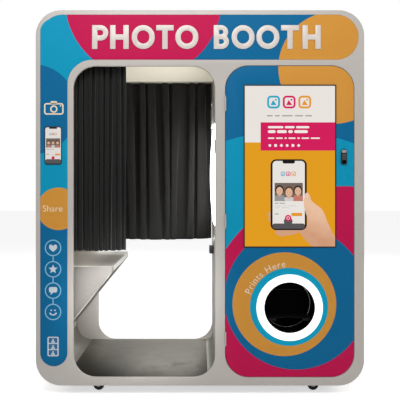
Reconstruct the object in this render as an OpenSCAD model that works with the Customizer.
// Walk-in photo booth on castors: a curtained cabin with a perch seat beside a machine
// cabinet whose front door carries a tall display and a ring-lit print outlet.
// X runs along the wide front, the front faces -Y, Z is up. The origin is on the floor,
// under the middle of the booth. Millimetres.

/* [Body] */
// Overall width of the booth
booth_w = 1750; // [1750:1:1760]
// Height of the body above its castor gap
booth_h = 2000; // [2000:1:2010]
// Depth between the front and rear faces
booth_d = 750; // [740:1:760]
// Radius of the body's outer corners
corner_r = 136; // [130:1:140]
// Gap between the floor and the underside of the body
floor_gap = 50; // [50:1:52]
// Thickness of the front and rear surrounds
surround_t = 18; // [16:1:18]
// Thickness of the wrapped sheet panels
sheet_t = 2.5; // [2:0.1:3]

/* [Cabin] */
// Left edge of the doorway
way_x0 = -674; // [-680:1:-670]
// Right edge of the doorway
way_x1 = 80; // [76:1:80]
// Threshold height of the doorway, flush with the cabin floor
way_z0 = 94; // [94:1:95]
// Top edge of the doorway
way_z1 = 1751; // [1745:1:1755]
// Radius of the doorway's corners
way_r = 118; // [100:1:120]
// Underside of the cabin ceiling
ceiling_z = 1795; // [1795:1:1800]
// Inner face of the cabin's left wall
liner_x = -815; // [-815:1:-812]
// Radius between the floor and the left wall
floor_r = 100; // [90:1:100]
// Height of the perch seat
seat_z = 680; // [670:1:690]
// Front edge of the perch seat
seat_nose_x = -472; // [-480:1:-465]
// Height of the seat's folded lip
seat_lip = 31; // [25:1:35]

/* [Curtains] */
// Distance of each curtain track from the middle of the booth
track_y = 315; // [312:1:316]
// Width of a curtain track
track_w = 18; // [16:1:20]
// Height of a curtain track
track_h = 9; // [8:1:10]
// Wall of a curtain track
track_t = 1.5; // [1.2:0.1:2]
// Bottom of both curtains
curtain_z = 763; // [750:1:780]
// Leading edge of the open front curtain
front_hem_x = -410; // [-415:1:-405]
// Leading edge of the drawn rear curtain
rear_hem_x = 66; // [60:1:66]

/* [Service door] */
// Left edge of the service opening
door_x0 = 134; // [134:1:135]
// Right edge of the service opening
door_x1 = 822; // [820:1:822]
// Bottom edge of the service opening
door_z0 = 95; // [95:1:96]
// Top edge of the service opening
door_z1 = 1755; // [1750:1:1755]
// Radius of the service opening's corners
door_r = 125; // [120:1:126]
// Width of the display's viewing area
view_w = 480; // [478:1:480]
// Height of the display's viewing area
view_h = 854; // [850:1:854]
// Centre of the print outlet along X
outlet_x = 477; // [475:1:478]
// Centre of the print outlet above the floor
outlet_z = 466; // [464:1:468]
// Radius of the print outlet
outlet_r = 132; // [130:1:132]
// Depth of the print outlet's bowl
bowl_depth = 115; // [110:1:115]

/* [Hidden] */
$fn = 96;
front_y = -booth_d / 2;
inner_y = booth_d / 2 - surround_t; // inner faces of both surrounds
top_z = floor_gap + booth_h;
half_w = booth_w / 2;
door_gap = 3;
floor_t = 2;
hinge_x = door_x0 + door_gap / 2;
hinge_y = front_y - 4.5;
hinge_zs = [300, 925, 1550];
knuckle_r = 4;
pin_r = 2;
lock_x = 765;
lock_z = 1268;
lock_spindle_z = lock_z + 8;
view_x = 478.5;
view_z = 1219;
bulkhead_x = 83;
camera_z = 1522;
camera_x = 130;
button_y = -110;
button_z = 800;
rack_x0 = 100;
rack_x1 = 800;
rack_y0 = -150;
rack_y1 = 300;
shelf_zs = [560, 1150];
roll_y = 140;
roll_z = 655;
fan_z = 1600;
fan_y = 305;
castor_xs = [-584.5, 584.5];
castor_y = 293;
castor_trail = 32.5;
wheel_r = 30;
wheel_w = 20;
castor_plate_z = 78;
bolt_ys = [-240, -80, 80, 240];
inlet_x = 848;
inlet_z = 320;
bolt_z = 210;

// ---------------------------------------------------------------- shared shapes

// Rectangle from one corner to the other with round corners
module round_rect(x0, z0, x1, z1, r) {
  translate([x0 + r, z0]) square([x1 - x0 - 2 * r, z1 - z0]);
  translate([x0, z0 + r]) square([x1 - x0, z1 - z0 - 2 * r]);
  for (x = [x0 + r, x1 - r], z = [z0 + r, z1 - r]) translate([x, z]) circle(r);
}

// Stands a flat X-Z outline up as a plate from y0 to y0 + t
module upright(y0, t) {
  translate([0, y0 + t, 0]) rotate([90, 0, 0]) linear_extrude(t) children();
}

// Extrudes a Y-Z outline along X from x0 by w
module along_x(x0, w) {
  translate([x0, 0, 0]) rotate([90, 0, 90]) linear_extrude(w) children();
}

module box(low, high) {
  translate(low) cube(high - low);
}

module rod_x(x0, x1, y, z, r) {
  translate([x0, y, z]) rotate([0, 90, 0]) cylinder(h = x1 - x0, r = r);
}

module rod_y_dir(y0, y1, x, z, r) {
  translate([x, y0, z]) rotate([-90, 0, 0]) cylinder(h = y1 - y0, r = r);
}

// Same shape on the rear face
module at_rear() {
  mirror([0, 1, 0]) children();
}

// ---------------------------------------------------------------- casing

module body_outline(inset) {
  round_rect(-half_w + inset, floor_gap + inset, half_w - inset, top_z - inset, corner_r - inset);
}

module doorway_outline() {
  round_rect(way_x0, way_z0, way_x1, way_z1, way_r);
}

module service_outline(inset) {
  round_rect(door_x0 + inset, door_z0 + inset, door_x1 - inset, door_z1 - inset, door_r - inset);
}

// L-shaped printed area: a column with a round foot and a header band with a round end
module graphic_outline(grow) {
  column_x0 = -850;
  column_x1 = -706;
  header_z0 = 1786;
  header_z1 = 2025;
  foot_z = 226;
  column_r = (column_x1 - column_x0) / 2;
  header_r = (header_z1 - header_z0) / 2;
  header_end_x = 844 - header_r;
  outer_r = 115;
  inner_r = 133;
  translate([column_x0 - grow, foot_z])
    square([2 * column_r + 2 * grow, header_z1 - outer_r - foot_z]);
  translate([column_x0 + column_r, foot_z]) circle(column_r + grow);
  translate([column_x0 + outer_r, header_z0 - grow])
    square([header_end_x - column_x0 - outer_r, 2 * header_r + 2 * grow]);
  translate([header_end_x, header_z0 + header_r]) circle(header_r + grow);
  translate([column_x0 + outer_r, header_z1 - outer_r]) circle(outer_r + grow);
  difference() {
    translate([column_x1 - 14, header_z0 - inner_r]) square([inner_r + 14, inner_r + 14]);
    translate([column_x1 + inner_r, header_z0 - inner_r]) circle(inner_r - grow);
  }
}

// Square tubes round the floor, cross tubes, castor pads and the machine bay's floor plate
module base_chassis() {
  tube_z0 = 64;
  tube_z1 = way_z0 - floor_t;
  rail_x = 740;
  color("dimgray") {
    for (side = [-1, 1])
      box([-rail_x, side > 0 ? inner_y - 25 : -inner_y, tube_z0],
          [rail_x, side > 0 ? inner_y : -inner_y + 25, tube_z1]);
    for (x = [-rail_x, -300, 60, rail_x - 30])
      box([x, -inner_y + 20, tube_z0], [x + 30, inner_y - 20, tube_z1]);
    for (x = castor_xs)
      box([x - 60, -inner_y + 20, castor_plate_z], [x + 60, inner_y - 20, castor_plate_z + 4]);
    box([bulkhead_x + floor_t, -inner_y, tube_z1], [828, inner_y, way_z0]);
  }
}

module side_skin(side) {
  upright(-inner_y, 2 * inner_y)
    intersection() {
      difference() {
        body_outline(0);
        body_outline(sheet_t);
      }
      translate([side > 0 ? half_w - corner_r : -half_w, floor_gap])
        square([corner_r, booth_h]);
    }
}

module left_side_panel() {
  color("silver") side_skin(-1);
}

module right_side_panel() {
  color("silver") side_skin(1);
}

module roof_panel() {
  color("silver")
    box([-half_w + corner_r, -inner_y, top_z - sheet_t], [half_w - corner_r, inner_y, top_z]);
}

// Pressed face frame with the doorway, the service opening and a bed for the print
module surround() {
  difference() {
    upright(front_y, surround_t)
      difference() {
        body_outline(0);
        doorway_outline();
        service_outline(0);
      }
    upright(front_y - 1, 3) graphic_outline(0.5);
  }
}

module front_surround() {
  color("gainsboro") surround();
}

module rear_surround() {
  color("gainsboro")
    difference() {
      at_rear() surround();
      box([inlet_x - 12.5, inner_y - 1, inlet_z - 17.5], [inlet_x + 12.5, -front_y + 1, inlet_z + 17.5]);
    }
}

module front_graphic_panel() {
  color("steelblue") upright(front_y, 2) graphic_outline(0);
}

module rear_graphic_panel() {
  color("steelblue") at_rear() upright(front_y, 2) graphic_outline(0);
}

// ---------------------------------------------------------------- header letters

cap_h = 127;
stroke = 28.5;
letter_t = 4;
header_base_z = 1842;

module bowl_2d(x, z, r, counter_r) {
  difference() {
    union() {
      translate([0, z - r]) square([x, 2 * r]);
      translate([x, z]) circle(r);
    }
    translate([x, z]) circle(counter_r);
    translate([stroke, z - counter_r]) square([x - stroke, 2 * counter_r]);
  }
}

module letter_p() {
  square([stroke, cap_h]);
  bowl_2d(45, cap_h - 41, 41, 14);
}

module letter_h(w) {
  square([stroke, cap_h]);
  translate([w - stroke, 0]) square([stroke, cap_h]);
  translate([0, (cap_h - stroke) / 2]) square([w, stroke]);
}

module letter_t_2d(w) {
  translate([(w - stroke) / 2, 0]) square([stroke, cap_h]);
  translate([0, cap_h - stroke]) square([w, stroke]);
}

module letter_b() {
  square([stroke, cap_h]);
  bowl_2d(41.5, 39.5, 39.5, 12.5);
  bowl_2d(40, cap_h - 37, 37, 11);
}

module letter_o() {
  o_r = 61;
  rise = cap_h / 2 - o_r;
  difference() {
    union() {
      for (z = [o_r, cap_h - o_r]) translate([o_r, z]) circle(o_r);
      translate([0, o_r]) square([2 * o_r, 2 * rise]);
    }
    for (z = [o_r, cap_h - o_r]) translate([o_r, z]) circle(o_r - stroke);
    translate([stroke, o_r]) square([2 * (o_r - stroke), 2 * rise]);
  }
}

module header_word() {
  upright(front_y - letter_t, letter_t)
    translate([0, header_base_z]) {
      translate([-574, 0]) letter_p();
      translate([-478, 0]) letter_h(99);
      translate([-363, 0]) letter_o();
      translate([-233, 0]) letter_t_2d(93);
      translate([-131, 0]) letter_o();
      translate([73, 0]) letter_b();
      translate([168, 0]) letter_o();
      translate([300, 0]) letter_o();
      translate([431, 0]) letter_t_2d(95);
      translate([545, 0]) letter_h(97);
    }
}

// The same word faces both ways, centred on its band
module header_letters() {
  word_middle = 34;
  color("whitesmoke") {
    header_word();
    translate([2 * word_middle, 0, 0]) rotate([0, 0, 180]) header_word();
  }
}

module phone_plaque() {
  color("dimgray") upright(front_y - 3, 3) round_rect(-827.5, 1227, -734.5, 1430, 14);
}

// ---------------------------------------------------------------- cabin

module cabin_floor() {
  color("silver")
    box([liner_x + floor_r, -inner_y, way_z0 - floor_t], [bulkhead_x, inner_y, way_z0]);
}

module cabin_left_liner() {
  color("silver")
    difference() {
      upright(-inner_y, 2 * inner_y) {
        translate([liner_x - floor_t, way_z0 + floor_r])
          square([floor_t, ceiling_z - way_z0 - floor_r]);
        intersection() {
          translate([liner_x + floor_r, way_z0 + floor_r])
            difference() {
              circle(floor_r + floor_t);
              circle(floor_r);
            }
          translate([liner_x - floor_t, way_z0 - floor_t])
            square([floor_r + floor_t, floor_r + floor_t]);
        }
      }
      for (y = bolt_ys) rod_x(liner_x - 5, liner_x + 5, y, bolt_z, 4.5);
    }
}

module cabin_ceiling() {
  color("beige")
    box([liner_x - floor_t, -inner_y, ceiling_z], [bulkhead_x, inner_y, ceiling_z + floor_t]);
}

// Wall between cabin and machine, with the button collar, lens hole and camera ears
module machine_bulkhead() {
  wall_t = 2;
  color("gainsboro")
    difference() {
      union() {
        box([bulkhead_x, -inner_y, way_z0 - floor_t], [bulkhead_x + wall_t, inner_y, ceiling_z + floor_t]);
        rod_x(bulkhead_x - 4, bulkhead_x + 1, button_y, button_z, 27);
        for (side = [-1, 1])
          box([bulkhead_x + 1, side > 0 ? 56 : -60, camera_z - 20],
              [camera_x + 15, side > 0 ? 60 : -56, camera_z + 20]);
      }
      rod_x(bulkhead_x - 5, bulkhead_x + 5, button_y, button_z, 19.5);
      rod_x(bulkhead_x - 5, bulkhead_x + 5, 0, camera_z, 38);
      rod_y_dir(-70, 70, camera_x, camera_z, 4.05);
    }
}

// ---------------------------------------------------------------- seat

seat_half = 335;
seat_t = 3;
seat_foot_z = 224;

module seat_wedge(inset, end_inset) {
  slope = (seat_z - seat_lip - seat_foot_z) / (seat_nose_x - liner_x);
  drop = inset * sqrt(1 + slope * slope);
  nose = seat_nose_x - inset;
  polygon([
    [liner_x, seat_z - inset],
    [nose - end_inset, seat_z - inset],
    [nose - end_inset, seat_foot_z + drop + slope * (nose - end_inset - liner_x)],
    [liner_x, seat_foot_z + drop]
  ]);
}

// Folded sheet: flat perch, short lip, raking underside and a flange down the wall
module seat_shell() {
  plan_r = 25;
  color("lightgray")
    difference() {
      union() {
        intersection() {
          upright(-seat_half, 2 * seat_half)
            difference() {
              seat_wedge(0, 0);
              seat_wedge(seat_t, 0);
            }
          translate([0, 0, seat_foot_z - 1])
            linear_extrude(seat_z - seat_foot_z + 2)
              round_rect(liner_x - 50, -seat_half, seat_nose_x, seat_half, plan_r);
        }
        box([liner_x, -seat_half + 20, way_z0 + floor_r + 2], [liner_x + seat_t, seat_half - 20, seat_foot_z + 3]);
      }
      for (y = bolt_ys) rod_x(liner_x - 1, liner_x + 5, y, bolt_z, 4.5);
    }
}

module seat_gussets() {
  gusset_y = 317;
  color("lightgray")
    for (y = [-gusset_y, gusset_y - seat_t])
      upright(y, seat_t) seat_wedge(seat_t, 3);
}

module seat_bolts() {
  color("silver")
    for (y = bolt_ys) {
      rod_x(liner_x - 12, liner_x + seat_t + 1, y, bolt_z, 4);
      rod_x(liner_x + seat_t, liner_x + seat_t + 5, y, bolt_z, 7.5);
    }
}

// ---------------------------------------------------------------- bulkhead equipment

fascia_z0 = 887;
fascia_z1 = 1467;
fascia_half = 235;
screen_half = 150;
screen_z0 = 1000;
screen_z1 = 1380;

// Diffuser that bows out from the wall, with a window for the touch screen
module light_fascia() {
  bow = 17;
  steps = 24;
  middle = (fascia_z0 + fascia_z1) / 2;
  half = (fascia_z1 - fascia_z0) / 2;
  arc = [for (n = [0 : steps]) let (s = 2 * n / steps - 1) [bulkhead_x - bow * (1 - s * s), middle + s * half]];
  color("white")
    difference() {
      upright(-fascia_half, 2 * fascia_half) polygon(arc);
      box([0, -screen_half, screen_z0], [bulkhead_x + 1, screen_half, screen_z1]);
    }
}

module touch_screen() {
  color("black")
    box([bulkhead_x - 8, -screen_half + 0.5, screen_z0 + 0.5],
        [bulkhead_x, screen_half - 0.5, screen_z1 - 0.5]);
}

// Shallow frame round the camera's window
module camera_hood() {
  color("darkgray")
    difference() {
      box([bulkhead_x - 16, -125, fascia_z1 + 1], [bulkhead_x, 125, 1577]);
      box([bulkhead_x - 17, -105, fascia_z1 + 15], [bulkhead_x + 1, 105, 1563]);
    }
}

module camera_window() {
  color("black")
    box([bulkhead_x - 6, -104.5, fascia_z1 + 15.5], [bulkhead_x - 2, 104.5, 1562.5]);
}

module camera_body() {
  color("dimgray") {
    box([camera_x - 22, -50, camera_z - 34], [camera_x + 34, 50, camera_z + 34]);
    rod_x(bulkhead_x + 6, camera_x - 20, 0, camera_z, 30);
    rod_y_dir(-61, 61, camera_x, camera_z, 4);
  }
}

module payment_terminal() {
  color("black")
    along_x(bulkhead_x - 26, 26)
      round_rect(22, 703, 112, 746, 8);
}

module start_button() {
  color("crimson")
    rod_x(bulkhead_x - 10, bulkhead_x + 12, button_y, button_z, 19);
}

// ---------------------------------------------------------------- curtains

// Ceiling tracks: hollow strips with a slot along the underside
module curtain_tracks() {
  inner = track_w / 2 - track_t;
  foot_z = ceiling_z - track_h;
  color("silver")
    for (y = [-track_y, track_y])
      difference() {
        box([liner_x, y - track_w / 2, foot_z], [bulkhead_x, y + track_w / 2, ceiling_z]);
        box([liner_x - 1, y - inner, foot_z + track_t], [bulkhead_x + 1, y + inner, ceiling_z - track_t]);
        box([liner_x - 1, y - track_t, foot_z - 1], [bulkhead_x + 1, y + track_t, foot_z + track_t + 1]);
      }
}

// Cloth block that hangs below its track
module cloth_block(x0, x1, y, half_t) {
  box([x0, y - half_t, curtain_z], [x1, y + half_t, ceiling_z - track_h - 1]);
}

module front_curtain() {
  color("black") cloth_block(liner_x + 12, front_hem_x, -track_y, 18);
}

module rear_curtain() {
  color("black") cloth_block(liner_x + 12, rear_hem_x, track_y, 18);
}

module front_curtain_hem() {
  color("black") cloth_block(front_hem_x + 0.5, front_hem_x + 8.5, -track_y, 14);
}

module rear_curtain_hem() {
  color("black") cloth_block(rear_hem_x + 0.5, rear_hem_x + 8.5, track_y, 14);
}

// ---------------------------------------------------------------- machine inside

module equipment_rack() {
  post = 25;
  color("dimgray") {
    for (x = [rack_x0, rack_x1 - post], y = [rack_y0, rack_y1 - post])
      box([x, y, way_z0], [x + post, y + post, 1900]);
    for (x = [rack_x0, rack_x1 - post])
      box([x, rack_y0 + 1, way_z0], [x + post, rack_y1 - 1, way_z0 + 20]);
    for (z = shelf_zs)
      box([rack_x0 + 1, rack_y0 + 1, z], [rack_x1 - 1, rack_y1 - 1, z + 3]);
    box([outlet_x - 60, rack_y1 - post, fan_z + 60.5], [outlet_x + 60, rack_y1 + 45, fan_z + 63.5]);
    box([rack_x0 + 1, rack_y1 - post + 1, fan_z + 64], [rack_x1 - 1, rack_y1 - 1, fan_z + 89]);
    box([outlet_x - 60, rack_y1 - post + 2, fan_z + 62], [outlet_x + 60, rack_y1 - 2, fan_z + 70]);
  }
}

printer_low = [outlet_x - 138, -120, shelf_zs[0] + 3];
printer_high = [outlet_x + 138, 250, shelf_zs[0] + 173];

// Casing with a roll bay, a fixed spindle and a print slot at the front
module photo_printer() {
  wall = 3;
  color("dimgray") {
    difference() {
      box(printer_low, printer_high);
      box(printer_low + [wall, wall, wall], printer_high - [wall, wall, wall]);
      box([outlet_x - 80, printer_low.y - 1, printer_low.z + 38],
          [outlet_x + 80, printer_low.y + wall + 1, printer_low.z + 50]);
    }
    rod_x(printer_low.x + 1, printer_high.x - 1, roll_y, roll_z, 11.95);
  }
}

module paper_roll() {
  color("white")
    difference() {
      rod_x(outlet_x - 76, outlet_x + 76, roll_y, roll_z, 58);
      rod_x(outlet_x - 77, outlet_x + 77, roll_y, roll_z, 12);
    }
}

// Trough that carries a print from the printer's slot to the bowl
module print_chute() {
  chute_y0 = -252;
  chute_y1 = -122;
  chute_z0 = outlet_z + 72;
  chute_z1 = shelf_zs[0] + 36;
  color("gray") {
    along_x(outlet_x - 84, 168)
      polygon([[chute_y0, chute_z0], [chute_y1, chute_z1], [chute_y1, chute_z1 + 2], [chute_y0, chute_z0 + 2]]);
    for (x = [outlet_x - 86, outlet_x + 84])
      along_x(x, 2)
        polygon([[chute_y0, chute_z0], [chute_y1, chute_z1], [chute_y1, chute_z1 + 26], [chute_y0, chute_z0 + 20]]);
    box([outlet_x - 86, chute_y1 - 20, chute_z1 - 24], [outlet_x + 86, chute_y1, chute_z1 - 6]);
    box([outlet_x - 86, rack_y0 + 3, shelf_zs[0] + 3], [outlet_x + 86, chute_y1, chute_z1 - 20]);
  }
}

module computer() {
  low = [240, -100, shelf_zs[1] + 3];
  high = [560, 200, shelf_zs[1] + 98];
  color("black")
    difference() {
      box(low, high);
      for (n = [0 : 9])
        box([low.x + 30 + n * 14, low.y - 1, low.z + 20], [low.x + 36 + n * 14, low.y + 3, high.z - 20]);
    }
}

fan_half = 60;

module fan_frame() {
  color("dimgray")
    difference() {
      upright(fan_y, 38) round_rect(outlet_x - fan_half, fan_z - fan_half, outlet_x + fan_half, fan_z + fan_half, 6);
      difference() {
        rod_y_dir(fan_y - 1, fan_y + 39, outlet_x, fan_z, 57);
        rod_y_dir(fan_y + 32, fan_y + 38, outlet_x, fan_z, 22);
        for (a = [0, 90])
          translate([outlet_x, fan_y + 35, fan_z]) rotate([0, a, 0]) cube([120, 4, 8], center = true);
      }
    }
}

module fan_rotor() {
  blades = 7;
  color("black") {
    rod_y_dir(fan_y + 3, fan_y + 30, outlet_x, fan_z, 20);
    for (n = [0 : blades - 1])
      translate([outlet_x, fan_y + 16, fan_z])
        rotate([0, n * 360 / blades, 0])
          translate([35, 0, 0])
            rotate([38, 0, 0])
              cube([36, 2.5, 26], center = true);
  }
}

// Flanged power inlet with three blades; no lead is fitted
module mains_inlet() {
  face = -front_y;
  color("black") {
    difference() {
      union() {
        box([inlet_x - 15, face, inlet_z - 25], [inlet_x + 15, face + 2.5, inlet_z + 25]);
        box([inlet_x - 12, face - 24, inlet_z - 17], [inlet_x + 12, face + 1, inlet_z + 17]);
      }
      box([inlet_x - 9, face - 18, inlet_z - 13], [inlet_x + 9, face + 3, inlet_z + 13]);
    }
    for (at = [[-4, -7], [-4, 7], [4, 0]])
      box([inlet_x + at.x - 1, face - 19, inlet_z + at.y - 2.5], [inlet_x + at.x + 1, face - 9, inlet_z + at.y + 2.5]);
  }
}

// ---------------------------------------------------------------- hinges

knuckles = 5;
knuckle_l = 15;
leaf_t = 1.2;

// One hinge's knuckles of the given parity with the leaf that backs them
module hinge_side(z, parity, leaf_x) {
  hinge_l = knuckles * knuckle_l;
  difference() {
    union() {
      for (n = [parity : 2 : knuckles - 1])
        translate([0, 0, z - hinge_l / 2 + n * knuckle_l + 0.2]) {
          translate([hinge_x, hinge_y, 0]) cylinder(h = knuckle_l - 0.4, r = knuckle_r);
          translate([leaf_x, hinge_y, 0]) cube([leaf_t, 7, knuckle_l - 0.4]);
        }
      box([leaf_x, hinge_y + 5, z - hinge_l / 2 + 0.2], [leaf_x + leaf_t, front_y + surround_t, z + hinge_l / 2 - 0.2]);
    }
    translate([hinge_x, hinge_y, z - hinge_l]) cylinder(h = 2 * hinge_l, r = pin_r + 0.05);
  }
}

module frame_leaves() {
  for (z = hinge_zs) hinge_side(z, 0, door_x0);
}

module door_leaves() {
  for (z = hinge_zs) hinge_side(z, 1, door_x0 + door_gap - leaf_t);
}

module hinge_frame_leaves() {
  color("gainsboro") {
    frame_leaves();
    at_rear() frame_leaves();
  }
}

module pin_set() {
  pin_l = knuckles * knuckle_l + 3;
  for (z = hinge_zs) {
    translate([hinge_x, hinge_y, z - pin_l / 2]) cylinder(h = pin_l, r = pin_r);
    translate([hinge_x, hinge_y, z + pin_l / 2 - 1.4]) cylinder(h = 2, r = knuckle_r);
  }
}

module hinge_pins() {
  color("silver") {
    pin_set();
    at_rear() pin_set();
  }
}

// ---------------------------------------------------------------- service door

door_skin_t = 2;
ring_r = 176.5;

module door_shell() {
  flange_w = 2;
  upright(front_y, door_skin_t) service_outline(door_gap);
  upright(front_y + door_skin_t, surround_t - door_skin_t)
    difference() {
      service_outline(door_gap);
      service_outline(door_gap + flange_w);
    }
}

module lock_hole() {
  rod_y_dir(front_y - 1, front_y + door_skin_t + 1, lock_x, lock_spindle_z, 11);
}

module service_door() {
  color("mediumvioletred")
    difference() {
      door_shell();
      upright(front_y - 1, door_skin_t + 2)
        translate([view_x, view_z]) square([view_w + 6, view_h + 6], center = true);
      rod_y_dir(front_y - 1, front_y + door_skin_t + 1, outlet_x, outlet_z, ring_r + 0.5);
      lock_hole();
    }
}

module service_door_leaves() {
  color("gainsboro") door_leaves();
}

module display_bezel() {
  border = 6.5;
  color("black")
    difference() {
      union() {
        upright(front_y - 3, 3)
          translate([view_x, view_z]) square([view_w + 2 * border, view_h + 2 * border], center = true);
        upright(front_y - 1, 12)
          translate([view_x, view_z]) square([view_w + 5, view_h + 5], center = true);
      }
      upright(front_y - 4, 20)
        translate([view_x, view_z]) square([view_w, view_h], center = true);
    }
}

module display_panel() {
  color("white") {
    upright(front_y - 1, 10)
      translate([view_x, view_z]) square([view_w - 1, view_h - 1], center = true);
    upright(front_y + 11, 40)
      translate([view_x, view_z]) square([view_w + 20, view_h + 20], center = true);
    upright(front_y + 8, 4)
      translate([view_x, view_z]) square([view_w - 2, view_h - 2], center = true);
  }
}

module light_ring() {
  color("white")
    difference() {
      rod_y_dir(front_y - 4, front_y + door_skin_t, outlet_x, outlet_z, ring_r);
      rod_y_dir(front_y - 5, front_y + door_skin_t + 1, outlet_x, outlet_z, outlet_r + 3);
    }
}

// Round catch bowl with its fixing flange and the slot that prints drop through
module outlet_bowl() {
  wall = 2.7;
  back_y = front_y + bowl_depth;
  color("black")
    difference() {
      union() {
        rod_y_dir(front_y - 3, back_y + 3, outlet_x, outlet_z, outlet_r + wall);
        rod_y_dir(front_y + door_skin_t, front_y + door_skin_t + 3, outlet_x, outlet_z, ring_r + 8);
      }
      rod_y_dir(front_y - 4, back_y, outlet_x, outlet_z, outlet_r);
      box([outlet_x - 82, back_y - 1, outlet_z + 66], [outlet_x + 82, back_y + 4, outlet_z + 92]);
    }
}

// Shelf across the bowl with a finger notch and a turned-down lip
module print_tray() {
  tray_z = 404;
  color("dimgray")
    intersection() {
      difference() {
        union() {
          box([outlet_x - outlet_r, front_y + 12, tray_z], [outlet_x + outlet_r, front_y + bowl_depth - 0.5, tray_z + 3]);
          box([outlet_x - outlet_r, front_y + 12, tray_z - 12], [outlet_x + outlet_r, front_y + 15, tray_z + 3]);
        }
        translate([outlet_x, front_y + 12, tray_z - 20]) {
          cylinder(h = 30, r = 34);
          translate([-69, -10, 0]) cube([138, 28, 30]);
        }
      }
      rod_y_dir(front_y, front_y + bowl_depth, outlet_x, outlet_z, outlet_r - 0.5);
    }
}

// Escutcheon with a key cap above the turning lever
module lock_body_shape() {
  difference() {
    union() {
      upright(front_y - 6, 6) round_rect(lock_x - 16, lock_z - 39.5, lock_x + 16, lock_z + 39.5, 9);
      upright(front_y - 10, 5) round_rect(lock_x - 14, lock_z + 21, lock_x + 14, lock_z + 37, 6);
      rod_y_dir(front_y - 1, front_y + 20, lock_x, lock_spindle_z, 10.8);
    }
    rod_y_dir(front_y - 12, front_y + 22, lock_x, lock_spindle_z, 7.05);
  }
}

module service_lock_body() {
  color("dimgray") lock_body_shape();
}

// Lever, spindle and the cam that reaches behind the surround when it is turned
module lock_handle_shape() {
  lever_y = front_y - 12;
  cam_y = front_y + 21;
  rod_y_dir(front_y - 8, cam_y + 4, lock_x, lock_spindle_z, 7);
  upright(lever_y, 5.7) round_rect(lock_x - 11, lock_z - 36, lock_x + 11, lock_spindle_z + 10, 9);
  upright(cam_y, 4) round_rect(lock_x - 11, lock_spindle_z - 74, lock_x + 11, lock_spindle_z + 11, 5);
}

module service_lock_handle() {
  color("black") lock_handle_shape();
}

// ---------------------------------------------------------------- rear door

module rear_door() {
  color("steelblue")
    at_rear() {
      difference() {
        door_shell();
        lock_hole();
        for (n = [-5 : 5])
          upright(front_y - 1, door_skin_t + 2)
            round_rect(outlet_x - 70, fan_z + n * 12 - 2.5, outlet_x + 70, fan_z + n * 12 + 2.5, 2.4);
      }
      lock_body_shape();
    }
}

module rear_door_leaves() {
  color("gainsboro") at_rear() door_leaves();
}

module rear_lock_handle() {
  color("black") at_rear() lock_handle_shape();
}

// ---------------------------------------------------------------- castors

fork_top_z = 72;
spigot_r = 8;

module castor_plates() {
  color("silver")
    for (x = castor_xs, y = [-castor_y, castor_y])
      difference() {
        box([x - 42, y - 32, fork_top_z + 3], [x + 42, y + 32, castor_plate_z]);
        translate([x, y, fork_top_z]) cylinder(h = 10, r = spigot_r + 0.05);
      }
}

// Swivelling fork: crown, two cheeks, the axle and the spigot that turns in its plate
module castor_fork(x, y) {
  axle_x = x + castor_trail;
  cheek_t = 2.5;
  cheek_y = wheel_w / 2 + 1.5;
  color("silver") {
    difference() {
      translate([x, y, fork_top_z - 8]) cylinder(h = 8, r = 24);
      translate([axle_x, y, 0]) rotate([90, 0, 0]) cylinder(h = 2 * cheek_y, r = wheel_r + 3, center = true);
    }
    translate([x, y, fork_top_z - 1]) cylinder(h = 6.5, r = spigot_r);
    for (side = [-1, 1])
      translate([0, y + (side > 0 ? cheek_y + cheek_t : -cheek_y), 0])
        rotate([90, 0, 0])
          linear_extrude(cheek_t)
            polygon([
              [x - 18, fork_top_z - 4], [x + 19, fork_top_z - 4], [axle_x + 11, wheel_r + 3],
              [axle_x + 9, wheel_r - 8], [axle_x - 6, wheel_r - 10], [x - 4, wheel_r + 16]
            ]);
    rod_y_dir(y - cheek_y - cheek_t - 2, y + cheek_y + cheek_t + 2, axle_x, wheel_r, 5);
  }
}

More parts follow.
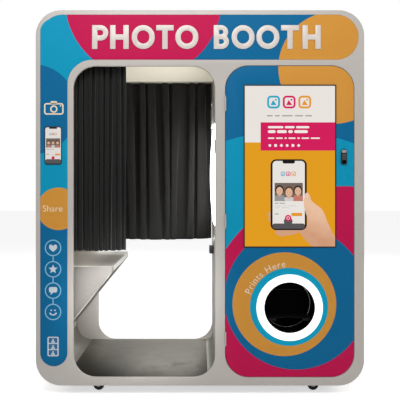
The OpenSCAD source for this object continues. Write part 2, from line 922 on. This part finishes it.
module castor_wheel(x, y) {
  color("black")
    translate([x + castor_trail, y, wheel_r])
      rotate([90, 0, 0])
        difference() {
          rotate_extrude()
            polygon([
              [5.05, -wheel_w / 2], [20, -wheel_w / 2], [wheel_r - 2, -wheel_w / 2 + 1],
              [wheel_r, -wheel_w / 2 + 4], [wheel_r, wheel_w / 2 - 4], [wheel_r - 2, wheel_w / 2 - 1],
              [20, wheel_w / 2], [5.05, wheel_w / 2]
            ]);
          for (side = [-1, 1])
            translate([0, 0, side * wheel_w / 2])
              difference() {
                cylinder(h = 4, r = 20, center = true);
                cylinder(h = 5, r = 10, center = true);
              }
        }
}

module castor_fork_front_left() { castor_fork(castor_xs[0], -castor_y); }
module castor_fork_front_right() { castor_fork(castor_xs[1], -castor_y); }
module castor_fork_rear_left() { castor_fork(castor_xs[0], castor_y); }
module castor_fork_rear_right() { castor_fork(castor_xs[1], castor_y); }
module castor_wheel_front_left() { castor_wheel(castor_xs[0], -castor_y); }
module castor_wheel_front_right() { castor_wheel(castor_xs[1], -castor_y); }
module castor_wheel_rear_left() { castor_wheel(castor_xs[0], castor_y); }
module castor_wheel_rear_right() { castor_wheel(castor_xs[1], castor_y); }

// ---------------------------------------------------------------- nodes

base_chassis();
left_side_panel();
right_side_panel();
roof_panel();
front_surround();
rear_surround();
front_graphic_panel();
rear_graphic_panel();
header_letters();
phone_plaque();
cabin_floor();
cabin_left_liner();
cabin_ceiling();
machine_bulkhead();
seat_shell();
seat_gussets();
seat_bolts();
light_fascia();
camera_hood();
camera_window();
touch_screen();
payment_terminal();
start_button();
camera_body();
curtain_tracks();
front_curtain();
rear_curtain();
front_curtain_hem();
rear_curtain_hem();
equipment_rack();
photo_printer();
paper_roll();
print_chute();
computer();
fan_frame();
fan_rotor();
mains_inlet();
hinge_frame_leaves();
hinge_pins();
service_door();
service_door_leaves();
display_bezel();
display_panel();
light_ring();
outlet_bowl();
print_tray();
service_lock_body();
service_lock_handle();
rear_door();
rear_door_leaves();
rear_lock_handle();
castor_plates();
castor_fork_front_left();
castor_fork_front_right();
castor_fork_rear_left();
castor_fork_rear_right();
castor_wheel_front_left();
castor_wheel_front_right();
castor_wheel_rear_left();
castor_wheel_rear_right();
